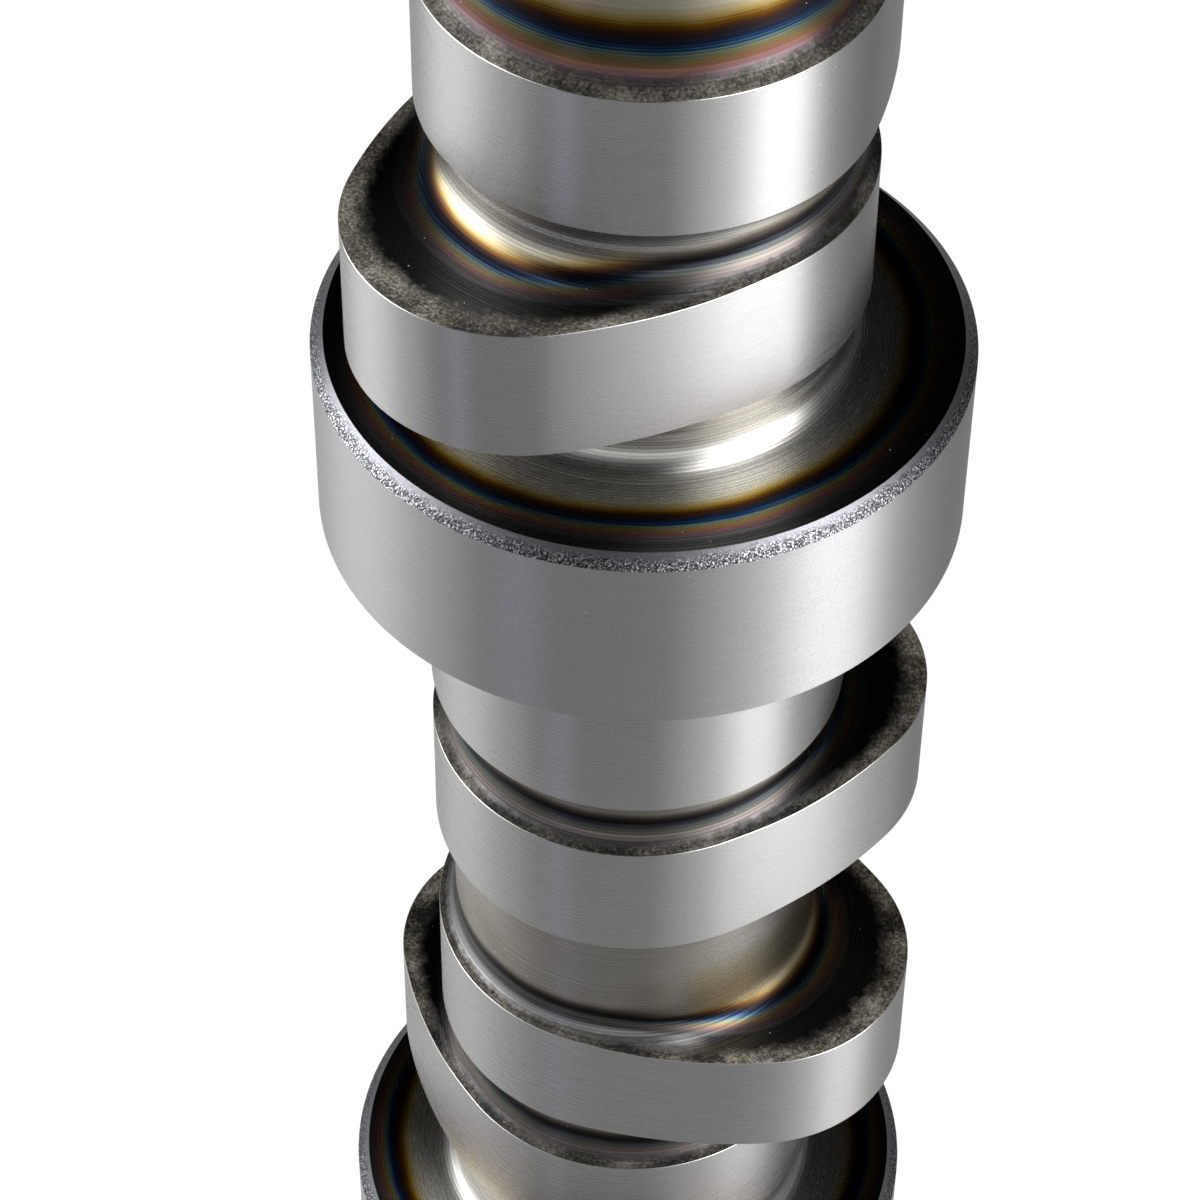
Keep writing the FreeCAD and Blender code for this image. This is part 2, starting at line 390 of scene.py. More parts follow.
def machinedEndSteel(name, base, dark, roughness):
    # Faced and turned steel at the ends: fine lines round the axis, a little darker in the cuts as painted
    # shade
    material, tree, shader, place = startMaterial(name)
    height = addNode(tree, "ShaderNodeSeparateXYZ", {}, {0: place})
    across = addNode(tree, "ShaderNodeMath", {"operation": "MULTIPLY_ADD", 1: 1 / mm},
                     {0: height.outputs["Z"], 2: axisDistance(tree, place)})
    lines = addNode(tree, "ShaderNodeTexNoise",
                    {"noise_dimensions": "1D", "Scale": 1 / 0.35, "Detail": 3.0}, {"W": across.outputs[0]})
    cloud = addNode(tree, "ShaderNodeTexNoise", {"Scale": 1 / (6 * mm), "Detail": 3.0}, {"Vector": place})
    mixed = addNode(tree, "ShaderNodeMix", {"data_type": "FLOAT", 0: 0.4},
                    {2: lines.outputs[0], 3: cloud.outputs[0]})
    # Painted shade in the cuts, mixed with a cloudy tone
    tone = addNode(tree, "ShaderNodeValToRGB", {"stops": [(0.35, dark), (0.6, base)]},
                   {0: mixed.outputs[0]})
    rough = addNode(tree, "ShaderNodeMapRange", {"From Min": 0.3, "From Max": 0.7,
                                                 "To Min": roughness + 0.06, "To Max": roughness - 0.04},
                    {"Value": mixed.outputs[0]})
    bump = addNode(tree, "ShaderNodeBump", {"Strength": 0.4, "Distance": 0.015 * mm},
                   {"Height": lines.outputs[0]})
    blurAlong(tree, shader, 0.5)
    setNode(tree, shader, {"Metallic": 1.0}, {"Base Color": tone.outputs[0], "Roughness": rough.outputs[0],
                                              "Normal": bump.outputs[0]})
    return material


finishes = {
    "lobe": groundLobeSteel(),
    "journal": groundJournalSteel(),
    "bevel": roughBevelSteel(),
    "turned": tintedTurnedSteel(),
    "end": machinedEndSteel("turned_steel_ends", "#B3B2B0", "#8E8D8B", 0.30),
    "bore": machinedEndSteel("drilled_steel_bore", "#6E6C69", "#3F3D3B", 0.42),
    "hole": machinedEndSteel("tapped_steel_holes", "#8A8886", "#54524F", 0.36),
}
finishNames = list(finishes)
print("finishes mixed")


# The shaft: one turned half section spun round the axis, then the lobes ground to their outline

journals = [mounts["journal_%d" % number] for number in range(5, 0, -1)]  # from the rear end up
shaft = {
    "journalRadius": journals[0]["dims"]["r_mm"],
    "journalHalf": journals[0]["dims"]["length_mm"] / 2,  # between the rim bevels
    "journalBevel": 1.1,
    "coreRadius": 16.8,
    "coreShares": (0.18, 0.5, 0.82),  # places of the corners along a long stretch of core
    "shortCore": 4,
    "cornerRadius": 2.6,  # round corner at the foot of every side face
    "cornerSteps": 5,
    "boreRadius": 8.0,
    "coneRadius": 9.6,
    "coneDepth": 2.77,
    "noseRadius": mounts["gear_register"]["dims"]["r_mm"],
    "noseBevel": 0.8,
    "noseFace": mounts["gear_face"]["pos_m"][2] / mm,
    "noseLength": 9.0,
    "stepsRound": 180,
}
lobe = {
    "baseRadius": 18.4,
    "lift": 8.8,
    "flankRadius": 45.0,
    "flankStart": 84.0,  # degrees from the tip, where the flank leaves the base circle
    "halfWidth": 6.2,
    "offsets": (23.3, 42.2, 69.56, 88.46),  # down from the line of the journal in front
    "lineBelowMiddle": 0.575,  # that line lies a little behind the journal's own middle
    "firingOrder": (1, 8, 7, 2, 6, 5, 4, 3),
    "separation": 112.0,
    "bankHalf": 45.0,
    "timing": 210.0,
    "edgeBreak": 0.045,
    "rimStations": (2.6, 1.2, 0.35),  # mm inside the outline
    "blankReach": 23.0,  # radius at which the lobes are turned before they are ground
}
lobe["tipReach"] = lobe["baseRadius"] + lobe["lift"]


def lobeTipAngle(cylinder, isIntake):
    firing = lobe["firingOrder"].index(cylinder) * 45.0
    bank = -lobe["bankHalf"] if cylinder % 2 else lobe["bankHalf"]
    valve = lobe["separation"] / 2 if isIntake else -lobe["separation"] / 2
    return math.radians(lobe["timing"] + firing + bank + valve)


def lobeReach(angles):
    # Radius of the outline at angles from the lobe's tip: base circle, flank arc, nose arc
    base, flank, tip = lobe["baseRadius"], lobe["flankRadius"], lobe["tipReach"]
    start = math.radians(lobe["flankStart"])
    flankX, flankY = (base - flank) * math.cos(start), (base - flank) * math.sin(start)
    across = tip - flankX
    noseArc = (across**2 + flankY**2 - flank**2) / (2 * (across - flank))
    noseX = tip - noseArc
    jointTurn = math.atan2(-flankY, noseX - flankX)
    joint = math.atan2(noseArc * math.sin(jointTurn), noseX + noseArc * math.cos(jointTurn))
    away = np.abs((np.asarray(angles) + np.pi) % (2 * np.pi) - np.pi)
    alongFlank = flankX * np.cos(away) + flankY * np.sin(away)
    onFlank = alongFlank + np.sqrt(flank**2 - flankX**2 - flankY**2 + alongFlank**2)
    alongNose = noseX * np.cos(away)
    onNose = alongNose + np.sqrt(np.maximum(noseArc**2 - noseX**2 + alongNose**2, 0))
    return np.where(away > start, base, np.where(away > joint, onFlank, onNose))


def bandsFromRear():
    # Middle height, kind and tip angle of every journal and lobe
    bands = [(journal["pos_m"][2] / mm, "journal", 0.0) for journal in journals]
    for bay in range(4):
        frontLine = journals[4 - bay]["pos_m"][2] / mm - lobe["lineBelowMiddle"]
        odd = 2 * bay + 1
        wearers = ((odd, True), (odd + 1, False), (odd, False), (odd + 1, True))
        for offset, (cylinder, isIntake) in zip(lobe["offsets"], wearers):
            bands.append((frontLine - offset, "lobe", lobeTipAngle(cylinder, isIntake)))
    return sorted(bands)


cornerLength = shaft["cornerRadius"] * math.pi / 2
cornerReach = shaft["coreRadius"] + shaft["cornerRadius"]


def pathToRim(reach):
    # Length of the side's section from the core, where its round corner starts, to the outline
    drop = np.clip((cornerReach - reach) / shaft["cornerRadius"], 0, 1)
    return np.where(reach > cornerReach, cornerLength + reach - cornerReach,
                    shaft["cornerRadius"] * np.arccos(drop))


def pathPlace(path):
    # Radius, and distance outside the side face's plane, at a length along that section
    corner = shaft["cornerRadius"]
    swing = np.clip(path / corner, 0, math.pi / 2)
    radius = cornerReach - corner * np.cos(swing) + np.maximum(path - cornerLength, 0)
    return radius, corner * (1 - np.sin(swing))


def lobeStation(role, share, reach):
    # Radius and distance outside the face's plane of one station, where the outline has this reach
    whole = pathToRim(reach)
    cornerEnd = np.minimum(cornerLength, 0.6 * whole)
    squeeze = np.minimum(1, 0.85 * (whole - cornerEnd) / lobe["rimStations"][0])
    if role == "corner":
        return pathPlace(share * cornerEnd)
    if role == "middle":
        return pathPlace((cornerEnd + whole - lobe["rimStations"][0] * squeeze) / 2)
    if role == "rim":
        return pathPlace(whole - share * squeeze)
    radius, outside = pathPlace(whole - lobe["edgeBreak"])
    if role == "edge":
        return radius, outside
    return reach, outside - lobe["edgeBreak"]


def bandHalf(kind):
    return lobe["halfWidth"] if kind == "lobe" else shaft["journalHalf"] + shaft["journalBevel"]


def coreSpan(bands, band):
    # Heights between which the core shows straight above a band, between the two round corners
    low = bands[band][0] + bandHalf(bands[band][1]) + shaft["cornerRadius"]
    high = bands[band + 1][0] - bandHalf(bands[band + 1][1]) - shaft["cornerRadius"]
    return low, high


def isShaftEnd(bands, band, side):
    return (band == 0 and side < 0) or (band == len(bands) - 1 and side > 0)


def stationFinish(kind, role, side, atTop):
    # Finish of the strip that follows a corner of the half section
    if kind == "lobe" and (role == "ground" or (role == "edge" and side < 0)):
        return "lobe"
    if kind == "journal" and role == "bevelIn":
        return "bevel" if side < 0 else ("end" if atTop else "turned")
    if kind == "journal" and role == "bevelOut":
        return "journal" if side < 0 else "bevel"
    return "turned"


def stationList(bands):
    # One entry per corner of the half section: band, side of it, role, share, finish of the next strip
    steps = shaft["cornerSteps"]
    rounded = [("corner", step / steps) for step in range(steps + 1)] + [("middle", 0)]
    sidePlaces = {
        "lobe": rounded + [("rim", rim) for rim in lobe["rimStations"]] + [("edge", 0), ("ground", 0)],
        "journal": rounded + [("bevelIn", 0), ("bevelOut", 0)],
    }
    stations = [(-1, 0, "boreTop", 0, "bore"), (-1, 0, "boreRear", 0, "bore")]
    stations.append((-1, 0, "coneRear", 0, "end"))
    for band, (middle, kind, tip) in enumerate(bands):
        for side in (-1, 1):
            places = sidePlaces[kind][-2:] if isShaftEnd(bands, band, side) else sidePlaces[kind]
            for role, share in places[::-side]:
                finish = stationFinish(kind, role, side, band == len(bands) - 1)
                stations.append((band, side, role, share, finish))
        if band < len(bands) - 1:
            low, high = coreSpan(bands, band)
            shares = (0.5,) if high - low < shaft["shortCore"] else shaft["coreShares"]
            stations += [(band, 1, "core", share, "turned") for share in shares]
    stations += [(-1, 0, role, 0, "end") for role in ("noseFoot", "noseRim", "noseTop")]
    stations.append((-1, 0, "coneTop", 0, "bore"))
    return stations


def stationPlace(station, bands, reach):
    band, side, role, share, finish = station
    top, bore, cone = shaft["noseFace"], shaft["boreRadius"], shaft["coneRadius"]
    fixed = {
        "boreTop": (bore, top - shaft["coneDepth"]),
        "boreRear": (bore, shaft["coneDepth"]),
        "coneRear": (cone, 0.0),
        "noseFoot": (shaft["noseRadius"], top - shaft["noseLength"]),
        "noseRim": (shaft["noseRadius"], top - shaft["noseBevel"]),
        "noseTop": (shaft["noseRadius"] - shaft["noseBevel"], top),
        "coneTop": (cone, top),
    }
    if role in fixed:
        return fixed[role]
    middle, kind, tip = bands[band]
    if role == "core":
        low, high = coreSpan(bands, band)
        return shaft["coreRadius"], low + share * (high - low)
    if kind == "lobe":
        radius, outside = lobeStation(role, share, reach)
        return radius, middle + side * (lobe["halfWidth"] + outside)
    face = bandHalf(kind)
    rim = shaft["journalRadius"] - shaft["journalBevel"]
    if role == "bevelIn":
        return rim, middle + side * face
    if role == "bevelOut":
        return shaft["journalRadius"], middle + side * shaft["journalHalf"]
    if role == "middle":
        return (cornerReach + rim) / 2, middle + side * face
    radius, outside = pathPlace(share * cornerLength)
    return radius, middle + side * (face + outside)


bands = bandsFromRear()
stations = stationList(bands)
blankReach = np.float64(lobe["blankReach"])
blank = [tuple(float(number) for number in stationPlace(station, bands, blankReach))
         for station in stations]
blank.append(blank[0])  # closes the section at the bore
camshaft = turnedPiece("camshaft_body", blank, shaft["stepsRound"])
print("shaft blank turned:", len(stations), "corners in its section,", len(camshaft.data.polygons), "faces")

# Every ring of a lobe is moved from the blank's round to the lobe's own outline
places = vertexPlaces(camshaft)
stationOf = np.empty(len(places), dtype=np.int32)
camshaft.data.attributes["station"].data.foreach_get("value", stationOf)
stationOf = np.where(stationOf == len(stations), 0, stationOf)
angles = np.arctan2(places[:, 1], places[:, 0])
for number, station in enumerate(stations):
    if station[0] < 0 or bands[station[0]][1] != "lobe" or station[2] == "core":
        continue
    ring = np.flatnonzero(stationOf == number)
    reach = lobeReach(angles[ring] - bands[station[0]][2])
    radius, height = stationPlace(station, bands, reach)
    places[ring, 0] = radius * np.cos(angles[ring]) * mm
    places[ring, 1] = radius * np.sin(angles[ring]) * mm
    places[ring, 2] = height * mm
camshaft.data.vertices.foreach_set("co", places.ravel())
camshaft.data.update()
facesOutward(camshaft)
print("sixteen lobes ground to their outline")

# Each strip gets its finish before the holes are cut
for name in finishNames:
    camshaft.data.materials.append(finishes[name])
stripFinish = np.array([finishNames.index(station[4]) for station in stations])
corners = np.empty(len(camshaft.data.loops), dtype=np.int32)
camshaft.data.loops.foreach_get("vertex_index", corners)
cornerStations = stationOf[corners].reshape(-1, 4)
low, high = cornerStations.min(axis=1), cornerStations.max(axis=1)
strip = np.where((low == 0) & (high == len(stations) - 1), high, low)
camshaft.data.polygons.foreach_set("material_index", stripFinish[strip].astype(np.int32))


# Front end: three tapped holes and the pin's hole, cut with turned drills

frontHoles = {
    "circleRadius": mounts["gear_screws"]["dims"]["pcd_mm"] / 2,
    "screwRadius": mounts["gear_screws"]["dims"]["hole_r_mm"],
    "threadRadius": 4.0,
    "threadPitch": 1.25,
    "threadSteps": (0.08, 0.58, 0.70, 1.20),  # heights of a thread's corners above its foot
    "threadTurns": 12,
    "screwDepth": 22.0,
    "screwTip": 2.04,  # height of the drill's point
    "countersink": 0.8,
    "screwAngles": (90, 210, 330),
    "pinRadius": mounts["gear_dowel"]["dims"]["r_mm"],
    "pinDepth": 12.0,
    "pinTip": 1.9,
    "pinAngle": 150,
    "above": 0.2,  # how far a drill stands out of the face
    "steps": 40,
}
face = shaft["noseFace"]
screw, thread = frontHoles["screwRadius"], frontHoles["threadRadius"]
bottom, drillTop = face - frontHoles["screwDepth"], face + frontHoles["above"]
drill = [(0, bottom - frontHoles["screwTip"]), (screw, bottom)]
for turnNumber in range(frontHoles["threadTurns"], 0, -1):
    foot = face - frontHoles["countersink"] - turnNumber * frontHoles["threadPitch"]
    drill += [(radius, foot + step) for radius, step in
              zip((screw, thread, thread, screw), frontHoles["threadSteps"])]
drill += [(screw + frontHoles["countersink"] + frontHoles["above"], drillTop), (0, drillTop)]
pinBottom = face - frontHoles["pinDepth"]
pinDrill = [(0, pinBottom - frontHoles["pinTip"]), (frontHoles["pinRadius"], pinBottom),
            (frontHoles["pinRadius"], drillTop), (0, drillTop)]


def moveToHole(piece, angle):
    reach, around = frontHoles["circleRadius"] * mm, math.radians(angle)
    piece.location = (reach * math.cos(around), reach * math.sin(around), 0)
    onlySelect(piece)
    bpy.ops.object.transform_apply(location=True, rotation=False, scale=False)


def drillHole(section, angle):
    tool = turnedPiece("drill", section, frontHoles["steps"])
    facesOutward(tool)
    moveToHole(tool, angle)
    tool.data.materials.append(finishes["hole"])
    onlySelect(camshaft)
    cut = camshaft.modifiers.new("hole", "BOOLEAN")
    cut.operation = "DIFFERENCE"
    cut.solver = "EXACT"
    cut.material_mode = "TRANSFER"
    cut.object = tool
    bpy.ops.object.modifier_apply(modifier=cut.name)
    bpy.data.objects.remove(tool, do_unlink=True)


for angle in frontHoles["screwAngles"]:
    drillHole(drill, angle)
drillHole(pinDrill, frontHoles["pinAngle"])
print("front holes cut:", len(camshaft.data.polygons), "faces, materials", len(camshaft.data.materials))


# What the finishes follow: the heat that coloured the sides, the turned lines, and the rough rim

heatReach = {
    "journalInside": 4.6,  # mm from a journal's rim inwards to the blue ring
    "besideLobe": 0.06,  # less of it for each mm of lift of the lobe beside
    "lobeTip": 8.2,  # the same distance at a lobe's tip
    "perLess": 0.60,  # how much nearer the rim it lies for each mm that the lobe is lower
    "rearCooler": 4.0,  # the colours stop this much earlier on sides that face the rear
    # Sides that were heated more or less, in mm, and how closely their colours lie at the heel, by
    # number of the journal or lobe from the rear, and 1 for its front side or -1 for its rear side
    "hotter": {(12, 1): (1.7, 0.62), (13, -1): (3.6, 0.8), (8, -1): (-2.3, 0.3), (7, 1): (0.15, 2.2),
               (5, 1): (-1.1, 1.0), (12, -1): (-1.5, 1.0), (3, 1): (0.8, 0.9), (17, 1): (1.2, 0.9)},
    "sootFrom": (19.6, 21.8),  # radius of the lobe's outline between which the black scale sets in
    "sootiest": {(12, 1): (1.2, 0.4)},  # least scale on a side, and how many mm wider its rough rim is
    "journalSoot": 1.3,  # the journals' sides took the deepest colours
    "strawCores": {7: -1.75},  # the core above this lobe took a straw tint all over
    "crustHeel": 0.95,  # width of the rough scale along the rim at a lobe's heel
    "crustPerLift": 0.14,  # and how much wider it is for each mm of lift
    "far": 40.0,
}
places = vertexPlaces(camshaft) / mm
radii = np.hypot(places[:, 0], places[:, 1])
angles = np.arctan2(places[:, 1], places[:, 0])
heights = places[:, 2]
layers = {
    "heatTint": np.full(len(places), -heatReach["far"]),
    "line": np.array(heights),
    "rim": np.full(len(places), heatReach["far"]),
    "soot": np.zeros(len(places)),
}
halves = [bandHalf(kind) for middle, kind, tip in bands]
onOutside = radii > shaft["coneRadius"] + 2
corner = shaft["cornerRadius"]
slack = 1e-4
for band, (middle, kind, tip) in enumerate(bands):
    reach = lobeReach(angles - tip) if kind == "lobe" else np.full(len(places), shaft["journalRadius"])
    whole = pathToRim(reach)
    if kind == "lobe":
        blue = whole - heatReach["lobeTip"] + heatReach["perLess"] * (lobe["tipReach"] - reach)
    else:
        blue = whole - heatReach["journalInside"]
    for side in (-1, 1):
        if isShaftEnd(bands, band, side):
            continue
        nextMiddle, nextKind, nextTip = bands[band + side]
        gap = abs(nextMiddle - middle) - halves[band] - halves[band + side]
        outside = side * (heights - middle) - halves[band]
        here = (outside > -slack) & (outside < gap + slack) & onOutside
        near = here & (outside < gap / 2)
        cornerSwing = np.arctan2(corner - outside, cornerReach - radii)
        onCorner = (radii < cornerReach + slack) & (outside < corner + slack)
        path = np.where(outside > corner, corner - outside,
                        np.where(onCorner, corner * np.clip(cornerSwing, 0, math.pi / 2),
                                 cornerLength + radii - cornerReach))

        hotter, spread = heatReach["hotter"].get((band, side), (0.0, 1.0))
        hotter -= heatReach["rearCooler"] if side < 0 else 0
        squeeze = 1 + (spread - 1) * np.clip((lobe["tipReach"] - reach) / lobe["lift"], 0, 1) ** 2
        if kind == "journal" and nextKind == "lobe":
            hotter = hotter - heatReach["besideLobe"] * (lobeReach(angles - nextTip) - lobe["baseRadius"])
        heatHere = (path - blue + hotter) * squeeze
        if side > 0 and band in heatReach["strawCores"]:
            heatHere = np.maximum(heatHere, heatReach["strawCores"][band])
        layers["heatTint"][here] = np.maximum(layers["heatTint"], heatHere)[here]
        layers["line"][near] = (heights - side * (path + outside))[near]

        leastSoot, widerCrust = heatReach["sootiest"].get((band, side), (0.0, 0.0))
        first, last = heatReach["sootFrom"]
        rise = np.clip((reach - first) / (last - first), 0, 1)
        scaled = np.maximum(rise * rise * (3 - 2 * rise), leastSoot)
        layers["soot"][near] = heatReach["journalSoot"] if kind == "journal" else scaled[near]
        if kind == "lobe":
            crust = heatReach["crustPerLift"] * (reach - lobe["baseRadius"])
            crust = crust + heatReach["crustHeel"] + widerCrust
            layers["rim"][near] = ((whole - path) / crust)[near]
for name, values in layers.items():
    layer = camshaft.data.attributes.new(name, "FLOAT", "POINT")
    layer.data.foreach_set("value", values.astype(np.float32))
camshaft.data.attributes.remove(camshaft.data.attributes["station"])
onlySelect(camshaft)
bpy.ops.object.shade_smooth_by_angle(angle=math.radians(30))
weighted = camshaft.modifiers.new("weighted", "WEIGHTED_NORMAL")
weighted.keep_sharp = True
bpy.ops.object.modifier_apply(modifier=weighted.name)
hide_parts("camshaft")
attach(camshaft, "root")
print("shaft finished")


# The locating pin

pin = {
    "radius": 3.15,
    "low": face - 11.5,
    "high": face + 8.0,
    "edge": 0.6,
    "edgeSteps": 4,
    "steps": 64,
}


def groundPinSteel():
    # Hardened pin steel, ground bright and even, with faint marks round it
    material, tree, shader, place = startMaterial("ground_pin_steel")
    stretched = addNode(tree, "ShaderNodeVectorMath",
                        {"operation": "MULTIPLY", 1: (1 / (3 * mm), 1 / (3 * mm), 1 / (0.15 * mm))},
                        {0: place})
    marks = addNode(tree, "ShaderNodeTexNoise", {"Scale": 1.0, "Detail": 3.0},
                    {"Vector": stretched.outputs[0]})
    tone = addNode(tree, "ShaderNodeValToRGB", {"stops": [(0.35, "#9F9EA0"), (0.62, "#C4C3C3")]},
                   {0: marks.outputs[0]})
    rough = addNode(tree, "ShaderNodeMapRange",
                    {"From Min": 0.3, "From Max": 0.7, "To Min": 0.30, "To Max": 0.18},
                    {"Value": marks.outputs[0]})
    bump = addNode(tree, "ShaderNodeBump", {"Strength": 0.2, "Distance": 0.01 * mm},
                   {"Height": marks.outputs[0]})
    setNode(tree, shader, {"Metallic": 1.0}, {"Base Color": tone.outputs[0], "Roughness": rough.outputs[0],
                                              "Normal": bump.outputs[0]})
    return material


turns = [step / pin["edgeSteps"] * math.pi / 2 for step in range(pin["edgeSteps"] + 1)]
inner, edge = pin["radius"] - pin["edge"], pin["edge"]
section = [(0, pin["low"])]
section += [(inner + edge * math.sin(turn), pin["low"] + edge * (1 - math.cos(turn))) for turn in turns]
section += [(inner + edge * math.cos(turn), pin["high"] - edge * (1 - math.sin(turn))) for turn in turns]
section.append((0, pin["high"]))
locatingPin = turnedPiece("locating_pin", section, pin["steps"])
locatingPin.data.attributes.remove(locatingPin.data.attributes["station"])
facesOutward(locatingPin)
moveToHole(locatingPin, frontHoles["pinAngle"])
bpy.ops.object.shade_smooth_by_angle(angle=math.radians(35))
locatingPin.data.materials.append(groundPinSteel())
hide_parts("dowel_pin")
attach(locatingPin, "root")
print("pin finished")


# Studio: white floor and backdrop, soft lamps, and a tent of glowing cards that only the steel mirrors:
# painted light that shows only in the steel's reflections

studio = {
    "floorSize": 6.0,
    "floorWhite": (0.75, 1.0),  # share of plain white in the floor near the shaft, and far from it
    "floorFade": (0.4, 1.6),  # distances in m between which that share grows
    "ambient": 0.45,
    # Section of the tent round the shaft: radius and height in mm
    "tentCorners": ((45, 4), (560, 500), (620, 820), (420, 1120), (0, 1250)),
    "tentSteps": 72,
    "tentMiddle": 250,  # height in mm on the shaft from which its slopes are measured
    "strength": 7.0,
    # Levels of the cards round its foot: degrees from the camera's side, positive to the right
    "footLevels": ((-180, 0.50), (-160, 0.44), (-142, 0.43), (-130, 0.50), (-121, 0.78), (-112, 1.02),
                   (-94, 0.98), (-85, 0.84), (-77, 0.58), (-64, 0.46), (-54, 0.27), (-48, 0.22),
                   (-43, (0.35, 0.34, 0.43)), (-36, (0.34, 0.33, 0.41)), (-31, 0.22), (-12, 0.23),
                   (8, 0.24), (18, 0.42), (38, 0.82), (48, 1.35), (55, 1.95), (72, 2.00), (78, 1.15),
                   (88, 0.50), (105, 0.36), (120, 0.24), (138, 0.28), (152, 0.36), (180, 0.50)),
    "footEven": (0.19, 0.12),  # distances in m from the foot between which its levels even out
    # Above them it is dark but for two lit panels, which take over between these slopes in degrees
    "panelLevels": ((-180, 0.01), (-135, 0.02), (-121, 0.80), (-112, 6.20), (-88, 6.60), (-77, 3.00),
                    (-65, 0.40), (-46, 0.05), (6, 0.04), (22, 0.30), (37, 3.40), (48, 6.20),
                    (70, 6.40), (80, 1.40), (90, 0.15), (120, 0.02), (180, 0.01)),
    "panelsFrom": (-8, 10),
    "topFrom": (62, 76),
    # A low pale strip in front, which draws the bright line along the foot of every side
    "stripLevels": ((-180, 0.0), (-80, 0.0), (-62, 1.6), (62, 1.6), (80, 0.0), (180, 0.0)),
    "stripRise": ((-90, 0.0), (-6, 0.0), (3, 1.0), (15, 1.0), (24, 0.0), (90, 0.0)),
    # Lamps that light what isn't mirrored: place, size in m, power in W
    "lamps": {
        "left_softbox": ((-0.95, -0.45, 0.95), 0.7, 9.0),
        "right_softbox": ((1.0, -0.35, 0.85), 0.6, 8.0),
        "top_softbox": ((0.0, 0.25, 1.6), 0.9, 10.0),
    },
    "lampAim": (0, 0, 0.24),
}


def backgroundRays(tree):
    # 1 for rays that show the background itself: from the camera, in gloss and through glass
    path = addNode(tree, "ShaderNodeLightPath")
    seen = addNode(tree, "ShaderNodeMath", {"operation": "MAXIMUM"},
                   {0: path.outputs["Is Camera Ray"], 1: path.outputs["Is Glossy Ray"]})
    return addNode(tree, "ShaderNodeMath", {"operation": "MAXIMUM"},
                   {0: seen.outputs[0], 1: path.outputs["Is Transmission Ray"]}).outputs[0]


onlySelect()
bpy.ops.mesh.primitive_plane_add(size=studio["floorSize"], location=(0, 0, 0))
floor = bpy.context.object
floor.name = "floor"
material, tree, shader, place = startMaterial("white_paper_floor")
setNode(tree, shader, {"Base Color": hexLinear("#F4F4F4"), "Roughness": 0.9}, {})
glow = addNode(tree, "ShaderNodeEmission", {"Color": (1, 1, 1, 1), "Strength": 1.0})
away = addNode(tree, "ShaderNodeVectorMath", {"operation": "LENGTH"}, {0: place})
plain = addNode(tree, "ShaderNodeMapRange",
                {"From Min": studio["floorFade"][0], "From Max": studio["floorFade"][1],
                 "To Min": studio["floorWhite"][0], "To Max": studio["floorWhite"][1]},
                {"Value": away.outputs["Value"]})
share = addNode(tree, "ShaderNodeMath", {"operation": "MULTIPLY"},
                {0: backgroundRays(tree), 1: plain.outputs[0]})
mixed = addNode(tree, "ShaderNodeMixShader", {},
                {0: share.outputs[0], 1: shader.outputs[0], 2: glow.outputs[0]})
setNode(tree, tree.nodes["Material Output"], {}, {"Surface": mixed.outputs[0]})
floor.data.materials.append(material)

scene.world = scene.world or bpy.data.worlds.new("studio")
scene.world.use_nodes = True
tree = scene.world.node_tree
tree.nodes.clear()
strength = addNode(tree, "ShaderNodeMapRange", {"To Min": studio["ambient"], "To Max": 1.0},
                   {"Value": backgroundRays(tree)})
sky = addNode(tree, "ShaderNodeBackground", {"Color": (1, 1, 1, 1)}, {"Strength": strength.outputs[0]})
addNode(tree, "ShaderNodeOutputWorld", {}, {"Surface": sky.outputs[0]})


def levelStops(levels, half=180, brightest=studio["strength"]):
    # Stops of a colour ramp for levels at degrees from -half to half
    return [((angle + half) / (2 * half), np.array(level) / brightest * np.ones(3))
            for angle, level in levels]


tent = turnedPiece("glowing_card_tent", studio["tentCorners"], studio["tentSteps"])
material, tree, shader, place = startMaterial("glowing_mirror_cards")
split = addNode(tree, "ShaderNodeSeparateXYZ", {}, {0: place})
backward = addNode(tree, "ShaderNodeMath", {"operation": "MULTIPLY", 1: -1.0}, {0: split.outputs["Y"]})
bearing = addNode(tree, "ShaderNodeMath", {"operation": "ARCTAN2"},
                  {0: split.outputs["X"], 1: backward.outputs[0]})
spread = addNode(tree, "ShaderNodeMapRange", {"From Min": -math.pi, "From Max": math.pi},
                 {"Value": bearing.outputs[0]})
rise = addNode(tree, "ShaderNodeMath", {"operation": "MULTIPLY_ADD", 1: 1 / mm, 2: -studio["tentMiddle"]},
               {0: split.outputs["Z"]})
slope = addNode(tree, "ShaderNodeMath", {"operation": "ARCTAN2"},
                {0: rise.outputs[0], 1: axisDistance(tree, place)})
foot, panels, front = [
    addNode(tree, "ShaderNodeValToRGB", {"stops": levelStops(studio[name])}, {0: spread.outputs[0]})
    for name in ("footLevels", "panelLevels", "stripLevels")
]
outward = addNode(tree, "ShaderNodeVectorMath", {"operation": "LENGTH"}, {0: place})
lower = addNode(tree, "ShaderNodeMapRange",
                {"From Min": studio["footEven"][0], "From Max": studio["footEven"][1], "To Max": 0.6},
                {"Value": outward.outputs["Value"]})
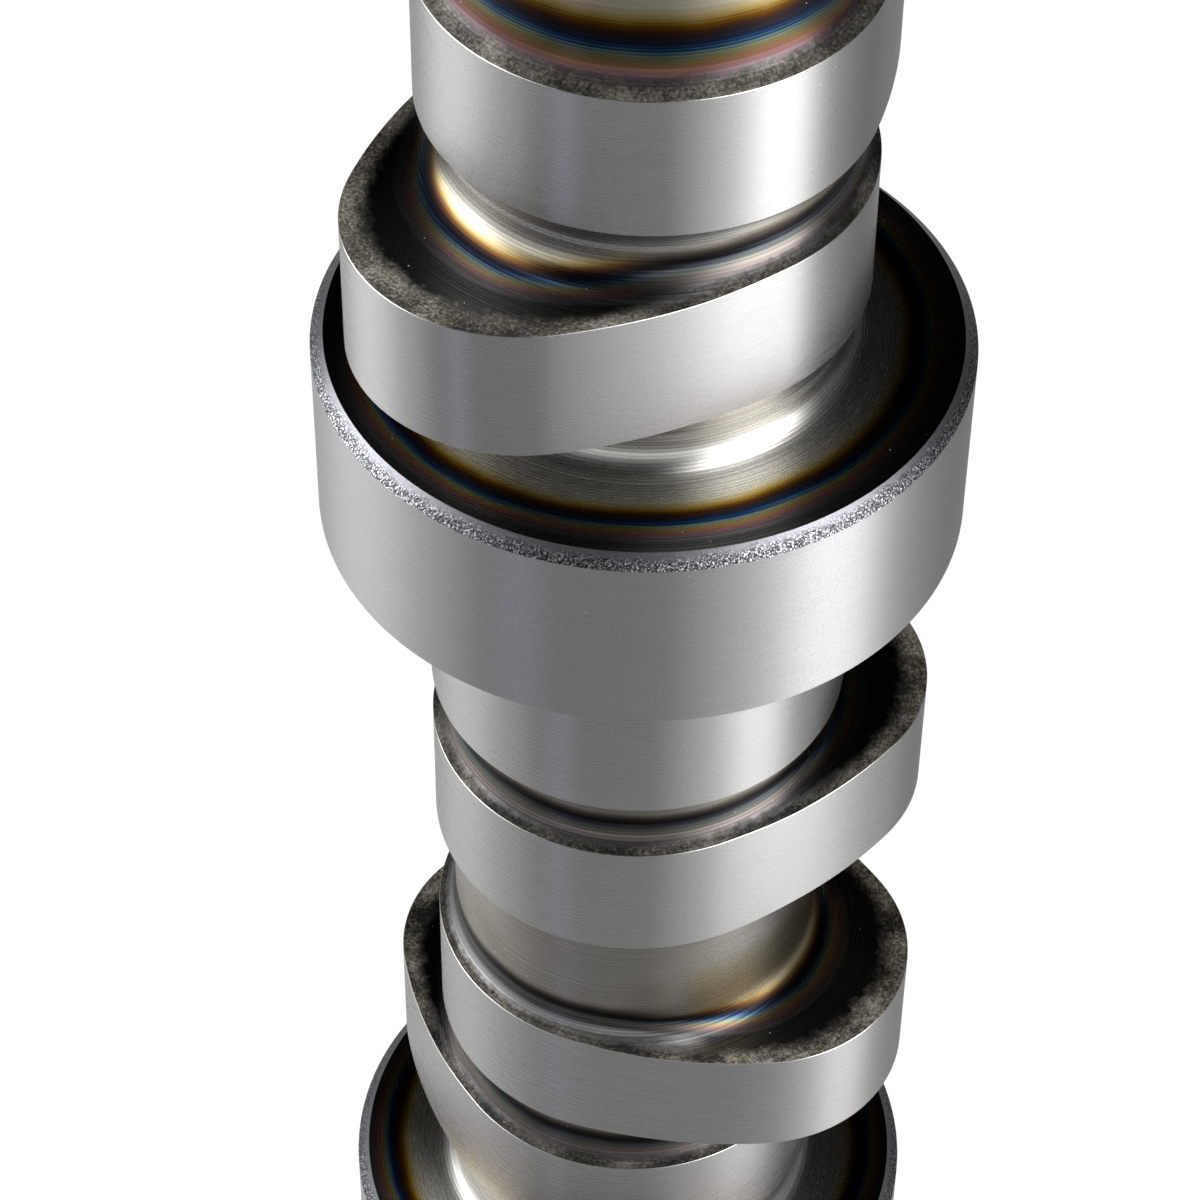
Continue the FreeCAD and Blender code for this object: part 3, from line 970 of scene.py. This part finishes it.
evened = addNode(tree, "ShaderNodeMix", {"data_type": "RGBA", 7: (0.06, 0.06, 0.06, 1)},
                 {0: lower.outputs[0], 6: foot.outputs[0]})
upper, top = [
    addNode(tree, "ShaderNodeMapRange",
            {"From Min": math.radians(studio[name][0]), "From Max": math.radians(studio[name][1])},
            {"Value": slope.outputs[0]})
    for name in ("panelsFrom", "topFrom")
]
walls = addNode(tree, "ShaderNodeMix", {"data_type": "RGBA"},
                {0: upper.outputs[0], 6: evened.outputs[2], 7: panels.outputs[0]})
covered = addNode(tree, "ShaderNodeMix", {"data_type": "RGBA", 7: (0.004, 0.004, 0.004, 1)},
                  {0: top.outputs[0], 6: walls.outputs[2]})
rising = addNode(tree, "ShaderNodeMapRange", {"From Min": -math.pi / 2, "From Max": math.pi / 2},
                 {"Value": slope.outputs[0]})
stripShare = addNode(tree, "ShaderNodeValToRGB", {"stops": levelStops(studio["stripRise"], 90, 1)},
                     {0: rising.outputs[0]})
lowStrip = addNode(tree, "ShaderNodeVectorMath", {"operation": "MULTIPLY"},
                   {0: front.outputs[0], 1: stripShare.outputs[0]})
mirrored = addNode(tree, "ShaderNodeVectorMath", {"operation": "ADD"},
                   {0: covered.outputs[2], 1: lowStrip.outputs[0]})
# The tent glows: its levels are painted light, seen only in reflections
light = addNode(tree, "ShaderNodeEmission", {"Strength": studio["strength"]},
                {"Color": mirrored.outputs[0]})
setNode(tree, tree.nodes["Material Output"], {}, {"Surface": light.outputs[0]})
tent.data.materials.append(material)
tent.visible_camera = False
tent.visible_diffuse = False
tent.visible_shadow = False
tent.visible_transmission = False
tent.visible_volume_scatter = False

for name, (place, size, power) in studio["lamps"].items():
    bpy.ops.object.light_add(type="AREA", location=place)
    lamp = bpy.context.object
    lamp.name = name
    lamp.data.size = size
    lamp.data.energy = power
    aim = Vector(studio["lampAim"]) - Vector(place)
    lamp.rotation_euler = aim.to_track_quat("-Z", "Y").to_euler()
    lamp.visible_camera = False
    lamp.visible_glossy = False  # the tent's lit panels stand for the lamps in the steel
print("studio lit")

scene.view_settings.view_transform = "Standard"
